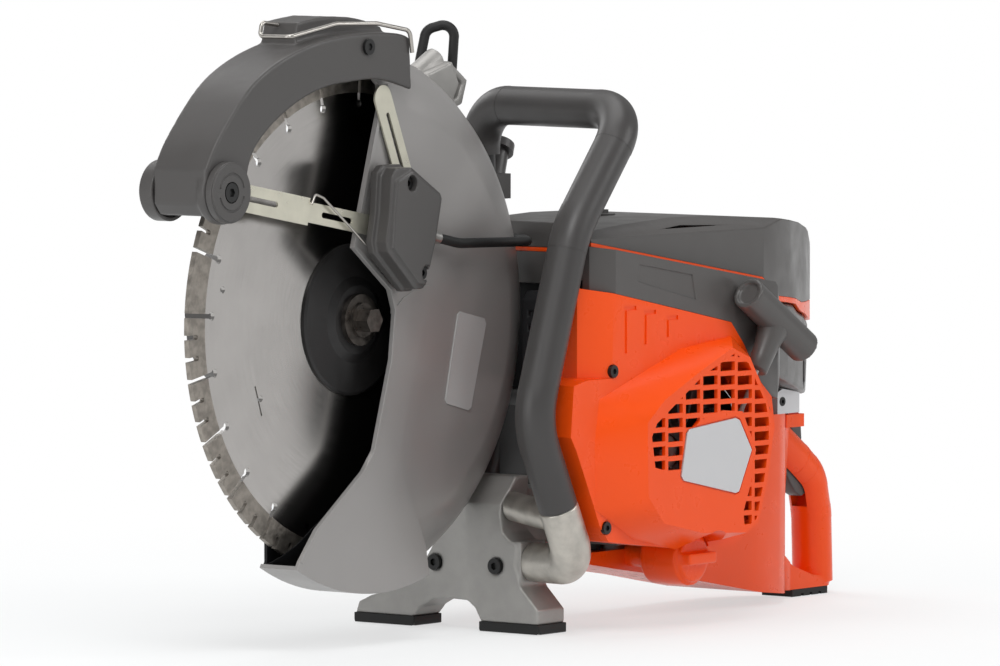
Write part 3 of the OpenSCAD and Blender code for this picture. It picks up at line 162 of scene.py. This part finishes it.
def blade_material(name, rgb, rough, rings, streak):
    """Ground steel: fine scratches that run round the blade's axis, with faint stains."""
    m = material(name, rgb, rough, metal=1.0)
    nt = m.node_tree
    bsdf = nt.nodes["Principled BSDF"]
    centre = at(0, 0, 0)
    from_axis = nt.nodes.new("ShaderNodeMapping")
    from_axis.inputs["Location"].default_value = (-centre.x, 0, -centre.z)
    nt.links.new(texture_place(nt), from_axis.inputs["Vector"])
    parts = nt.nodes.new("ShaderNodeSeparateXYZ")
    nt.links.new(from_axis.outputs["Vector"], parts.inputs["Vector"])
    x, z = parts.outputs["X"], parts.outputs["Z"]
    squares = math_node(nt, "ADD", math_node(nt, "MULTIPLY", x, x), math_node(nt, "MULTIPLY", z, z))
    radius = math_node(nt, "SQRT", squares)
    angle = math_node(nt, "ARCTAN2", z, x)
    polar = nt.nodes.new("ShaderNodeCombineXYZ")
    nt.links.new(math_node(nt, "MULTIPLY", radius, rings), polar.inputs["X"])
    nt.links.new(math_node(nt, "MULTIPLY", angle, streak), polar.inputs["Y"])
    scratches = noise(nt, polar.outputs["Vector"], 1.0, 4)
    stains = noise(nt, texture_place(nt), 26, 5)
    vary_roughness(nt, bsdf, scratches, rough - 0.03, rough + 0.05)
    vary_colour(nt, bsdf, stains, rgb, 0.86, 1.08)
    add_bump(nt, bsdf, scratches, 0.015, SCRATCH_DEPTH)
    return m


# plastics and rubber
orange = material("orange_plastic", (0.90, 0.080, 0.003), 0.30, bump=0.06, bump_scale=1400, rough_var=0.05,
                  var_scale=60, spec=0.32)
cover = material("cover_plastic", (0.080, 0.075, 0.072), 0.36, bump=0.12, bump_scale=1600, rough_var=0.06,
                 var_scale=60, spec=0.45)
dark = material("dark_plastic", (0.066, 0.062, 0.060), 0.40, bump=0.14, bump_scale=1500, rough_var=0.06,
                var_scale=50, spec=0.45)
red = material("red_plastic", (0.55, 0.02, 0.01), 0.4)
blue = material("blue_plastic", (0.03, 0.05, 0.28), 0.4)
grip = material("grip_rubber", (0.050, 0.047, 0.046), 0.40, bump=0.10, bump_scale=1200, rough_var=0.05,
                var_scale=50, spec=0.4)
black = material("black_rubber", (0.012, 0.012, 0.012), 0.55, bump=0.1, bump_scale=900, spec=0.35)
rope = material("rope", (0.55, 0.55, 0.53), 0.8, bump=0.5, bump_scale=700)

# painted and cast metal
matt_black = material("matt_black", (0.006, 0.006, 0.007), 0.55, spec=0.25)
screw = material("black_oxide", (0.018, 0.018, 0.018), 0.35, metal=0.4, rough_var=0.06, var_scale=200)
flange = material("flange_black", (0.016, 0.015, 0.015), 0.42, metal=0.3, bump=0.12, bump_scale=300,
                  rough_var=0.12, var_scale=60)
guard = material("guard_paint", (0.325, 0.312, 0.304), 0.34, metal=0.3, bump=0.05, bump_scale=2200,
                 rough_var=0.05, var_scale=40)
cast = material("cast_grey", (0.34, 0.33, 0.315), 0.42, metal=0.35, bump=0.16, bump_scale=700, rough_var=0.08,
                var_scale=60, tint=0.06)
bare = material("cast_bare", (0.50, 0.475, 0.43), 0.40, metal=0.8, bump=0.35, bump_scale=420, rough_var=0.12,
                var_scale=70, tint=0.16)
alloy = material("case_alloy", (0.16, 0.16, 0.16), 0.5, metal=0.5, bump=0.2, bump_scale=500, tint=0.08)

# bare metal and plates
steel = material("machined_steel", (0.55, 0.54, 0.52), 0.3, metal=1.0, rough_var=0.08, var_scale=120)
zinc = material("zinc_plated", (0.62, 0.60, 0.50), 0.34, metal=0.75, bump=0.04, bump_scale=900,
                rough_var=0.08, var_scale=90, tint=0.05)
wire = material("wire_steel", (0.45, 0.43, 0.40), 0.3, metal=1.0)
bolt = material("bolt_steel", (0.11, 0.098, 0.088), 0.36, metal=0.9, tint=0.2, var_scale=200, rough_var=0.1)
silver = material("plate_silver", (0.60, 0.60, 0.61), 0.34, metal=0.45, rough_var=0.04, var_scale=80)
paper = material("label_silver", (0.50, 0.50, 0.495), 0.42, metal=0.25, rough_var=0.03, var_scale=80)
blade = blade_material("blade_steel", (0.44, 0.425, 0.41), 0.2, 1500, 3.0)
segment = material("segment_matrix", (0.29, 0.265, 0.235), 0.42, metal=0.9, bump=0.5, bump_scale=900,
                   rough_var=0.1, var_scale=200, tint=0.2)

PAINT = {
    # blade
    "blade_core": blade, "blade_segments": segment, "outer_flange": flange, "inner_flange": flange,
    "blade_bolt": bolt, "spindle": steel, "driven_pulley": steel,
    # guard and its links
    "guard_shell": guard, "guard_back": matt_black, "guard_liner": matt_black, "guard_label_plate": paper,
    "guard_bracket": cast, "guard_hose": black, "hose_ferrule": steel, "mechanism_box": dark,
    "link_pins": screw, "lower_inner_link": zinc, "link_wire": wire, "lower_outer_link": zinc,
    "upper_link": zinc, "front_guard": dark, "front_guard_clip": wire, "front_guard_screws": screw,
    "near_roller": dark, "far_roller": dark,
    # stand and front handle
    "front_stand": cast, "stand_pads": black, "handle_elbow": bare, "handle_tube": screw,
    "handle_grip": grip, "water_valve": dark, "valve_lever": blue,
    # engine and drive
    "crankcase": alloy, "engine_cylinder": alloy, "muffler": matt_black, "cutting_arm": alloy,
    "spindle_bearings": steel, "belt_cover": cover, "drive_belt": black, "clutch_drum": steel,
    "crankshaft": steel, "flywheel": alloy,
    # starter side
    "starter_housing": orange, "starter_badge": silver, "starter_pulley": matt_black,
    "starter_rope": rope, "pull_handle": cover,
    # covers, tank and rear handle
    "top_cover": cover, "cover_knob": dark, "cover_stripe": orange, "side_band": cover,
    "filter_housing": cover, "fuel_tank_frame": orange, "rubber_mounts": black, "fuel_cap": orange,
    "throttle_block": silver, "throttle_trigger": dark, "throttle_lockout": dark, "stop_switch": red,
    "machine_screws": screw,
}
for name, finish in PAINT.items():
    piece = nodes[name]
    if not piece.material_slots:
        piece.data.materials.append(finish)
    for slot in piece.material_slots:
        slot.material = finish


# ---------------------------------------------------------------- edge rounding on the CAD pieces
def weld(piece, reach):
    modifier = piece.modifiers.new("weld", "WELD")
    modifier.merge_threshold = reach


def bevel(piece, width, sharper_than):
    """Round the edges that turn by more than an angle in degrees."""
    modifier = piece.modifiers.new("bevel", "BEVEL")
    modifier.width = width
    modifier.segments = 2
    modifier.limit_method = "ANGLE"
    modifier.angle_limit = math.radians(sharper_than)
    return modifier


def soften(name, width):
    """Round the edges of a piece and keep its flat faces flat."""
    piece = nodes[name]
    weld(piece, 2e-6)
    bevel(piece, width, 35).harden_normals = True
    normals = piece.modifiers.new("normals", "WEIGHTED_NORMAL")
    normals.keep_sharp = True
    normals.weight = 50
    for face in piece.data.polygons:
        face.use_smooth = True


def smooth_curves(name):
    """Turn a piece's faceted bows into curves, with its edges held by a narrow bevel."""
    piece = nodes[name]
    weld(piece, 2e-5)
    bevel(piece, 0.0024, 28)
    curve = piece.modifiers.new("curve", "SUBSURF")
    curve.levels = 2
    curve.render_levels = 2


def mould(name, cell, rounds):
    """Round a cast or moulded piece all over: fine cells, smoothed, then thinned out again."""
    piece = nodes[name]
    cells = piece.modifiers.new("cells", "REMESH")
    cells.mode = "VOXEL"
    cells.voxel_size = cell
    cells.use_smooth_shade = True
    smoothing = piece.modifiers.new("round", "SMOOTH")
    smoothing.factor = 0.5
    smoothing.iterations = rounds
    thinning = piece.modifiers.new("thin", "DECIMATE")
    thinning.ratio = 0.25


# piece: size of the cells in metres, rounds of smoothing
MOULDED = {
    "mechanism_box": (0.0007, 8), "front_guard": (0.0009, 14), "front_stand": (0.0010, 8),
    "pull_handle": (0.0008, 10), "fuel_cap": (0.0009, 8), "handle_elbow": (0.0010, 10),
    "guard_bracket": (0.0009, 6),
}
# piece: width of the rounded edge in metres
SOFTENED = {
    "starter_housing": 0.0012, "fuel_tank_frame": 0.0045, "top_cover": 0.0022, "side_band": 0.0012,
    "filter_housing": 0.003, "belt_cover": 0.0025, "guard_shell": 0.0009, "stand_pads": 0.0012,
    "rubber_mounts": 0.0008, "muffler": 0.0015, "throttle_block": 0.0006, "throttle_trigger": 0.0012,
    "throttle_lockout": 0.0012, "crankcase": 0.002, "cutting_arm": 0.0015, "near_roller": 0.0008,
    "far_roller": 0.0008, "starter_badge": 0.0004, "cover_stripe": 0.0004, "cover_knob": 0.0006,
}
smooth_curves("front_guard")
for name, (cell, rounds) in MOULDED.items():
    mould(name, cell, rounds)
for name, width in SOFTENED.items():
    soften(name, width)

# ---------------------------------------------------------------- starter grip's flared stem
GRIP_X, GRIP_Y, GRIP_Z = 333, -124.5, -12
CRANK_X, CRANK_Z = 255, -104
ROPE_WINDING_R = 14
# distance from the grip's centre down the rope, half width, half depth
STEM_PROFILE = ((2, 15, 10.5), (8, 13, 10.2), (14, 10.8, 9.4), (22, 9.4, 8.4), (32, 8.6, 7.8),
                (41, 8.0, 7.4), (42, 7.0, 6.6))
STEM_SIDES = 40


def rope_direction():
    """The rope leaves its pulley along the tangent that meets the grip's centre."""
    to_grip = Vector((GRIP_X - CRANK_X, 0, GRIP_Z - CRANK_Z))
    turn = math.atan2(to_grip.z, to_grip.x) + math.asin(ROPE_WINDING_R / to_grip.length)
    return Vector((math.cos(turn), 0, math.sin(turn)))


def closed_tube(name, rings):
    """A mesh through rings of equally many places, with a face over each end."""
    sides = len(rings[0])
    last = (len(rings) - 1) * sides
    faces = []
    for start in range(0, last, sides):
        for k in range(sides):
            after = (k + 1) % sides
            faces.append((start + k, start + after, start + sides + after, start + sides + k))
    faces.append(tuple(range(sides - 1, -1, -1)))
    faces.append(tuple(range(last, last + sides)))
    mesh = bpy.data.meshes.new(name)
    mesh.from_pydata([place for ring in rings for place in ring], [], faces)
    for face in mesh.polygons:
        face.use_smooth = True
    return mesh


def grip_stem():
    down_rope = rope_direction()
    across = down_rope.cross(Vector((0, 1, 0)))
    grip_centre = at(GRIP_X, GRIP_Y, GRIP_Z)
    turns = [2 * math.pi * k / STEM_SIDES for k in range(STEM_SIDES)]
    rings = []
    for down, wide, deep in STEM_PROFILE:
        centre = grip_centre - down_rope * down / MM_PER_M
        rings.append([centre + across * (wide * math.cos(t) / MM_PER_M)
                      + Vector((0, deep * math.sin(t) / MM_PER_M, 0)) for t in turns])
    mesh = closed_tube("starter_grip_stem", rings)
    mesh.materials.append(cover)
    stem = bpy.data.objects.new("starter_grip_stem", mesh)
    show(stem)
    return stem


stem = grip_stem()
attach(stem, "pull_grip")


# ---------------------------------------------------------------- floor and light
FLOOR_HALF = 30.0
FLOOR_DROP = 0.0004
# the floor goes from part shaded to plain white between these distances from the part's middle
SHADE_R, WHITE_R = 0.30, 0.95
WHITE_SHARE_NEAR = 0.6


def white_world():
    """Soft light on the part, and plain white where the camera looks past it."""
    world = bpy.data.worlds.new("world")
    bpy.context.scene.world = world
    world.use_nodes = True
    nt = world.node_tree
    soft = nt.nodes["Background"]
    soft.inputs["Color"].default_value = (0.82, 0.825, 0.83, 1)
    soft.inputs["Strength"].default_value = 0.40
    white = nt.nodes.new("ShaderNodeBackground")
    white.inputs["Color"].default_value = (1, 1, 1, 1)
    white.inputs["Strength"].default_value = 1.0
    path = nt.nodes.new("ShaderNodeLightPath")
    choice = nt.nodes.new("ShaderNodeMixShader")
    nt.links.new(path.outputs["Is Camera Ray"], choice.inputs[0])
    nt.links.new(soft.outputs[0], choice.inputs[1])
    nt.links.new(white.outputs[0], choice.inputs[2])
    nt.links.new(choice.outputs[0], nt.nodes["World Output"].inputs["Surface"])


def floor_material():
    """White for the camera and for reflections, and still showing the part's shadow near it."""
    m = bpy.data.materials.new("floor")
    m.use_nodes = True
    nt = m.node_tree
    nt.nodes.clear()
    out = nt.nodes.new("ShaderNodeOutputMaterial")
    lit = nt.nodes.new("ShaderNodeBsdfDiffuse")
    lit.inputs["Color"].default_value = (0.84, 0.865, 0.87, 1)
    white = nt.nodes.new("ShaderNodeEmission")
    white.inputs["Color"].default_value = (1, 1, 1, 1)
    distance = nt.nodes.new("ShaderNodeVectorMath")
    distance.operation = "LENGTH"
    nt.links.new(texture_place(nt), distance.inputs[0])
    fade = spread(nt, distance.outputs["Value"], SHADE_R, WHITE_R, WHITE_SHARE_NEAR)
    fade.interpolation_type = "SMOOTHSTEP"
    path = nt.nodes.new("ShaderNodeLightPath")
    seen = math_node(nt, "MAXIMUM", path.outputs["Is Camera Ray"], path.outputs["Is Glossy Ray"])
    share = math_node(nt, "MULTIPLY", fade.outputs["Result"], seen)
    choice = nt.nodes.new("ShaderNodeMixShader")
    nt.links.new(share, choice.inputs[0])
    nt.links.new(lit.outputs[0], choice.inputs[1])
    nt.links.new(white.outputs[0], choice.inputs[2])
    nt.links.new(choice.outputs[0], out.inputs["Surface"])
    return m


def floor_plane():
    s = FLOOR_HALF
    mesh = bpy.data.meshes.new("floor")
    mesh.from_pydata([(-s, -s, 0), (s, -s, 0), (s, s, 0), (-s, s, 0)], [], [(0, 1, 2, 3)])
    mesh.materials.append(floor_material())
    plane = bpy.data.objects.new("floor", mesh)
    plane.location = (0, 0, -FLOOR_DROP)
    show(plane)
    return plane


def lamp(name, place, aim, size, power):
    light = bpy.data.lights.new(name, "AREA")
    light.energy = power
    light.shape = "SQUARE"
    light.size = size
    holder = bpy.data.objects.new(name, light)
    holder.location = place
    holder.rotation_euler = (Vector(aim) - Vector(place)).to_track_quat("-Z", "Y").to_euler()
    show(holder)


white_world()
floor = floor_plane()
lamp("key", (-1.5, -1.3, 2.4), (0, 0, 0.15), 1.2, 34)
lamp("front", (-2.6, 0.2, 0.9), (-0.1, 0, 0.2), 1.6, 20)
lamp("side", (1.5, -2.3, 1.5), (0.1, 0, 0.15), 1.0, 20)
lamp("top", (0.2, 0.4, 2.4), (0, 0, 0.2), 1.8, 24)
lamp("rim", (0.6, 2.4, 1.5), (0, 0, 0.2), 1.4, 14)
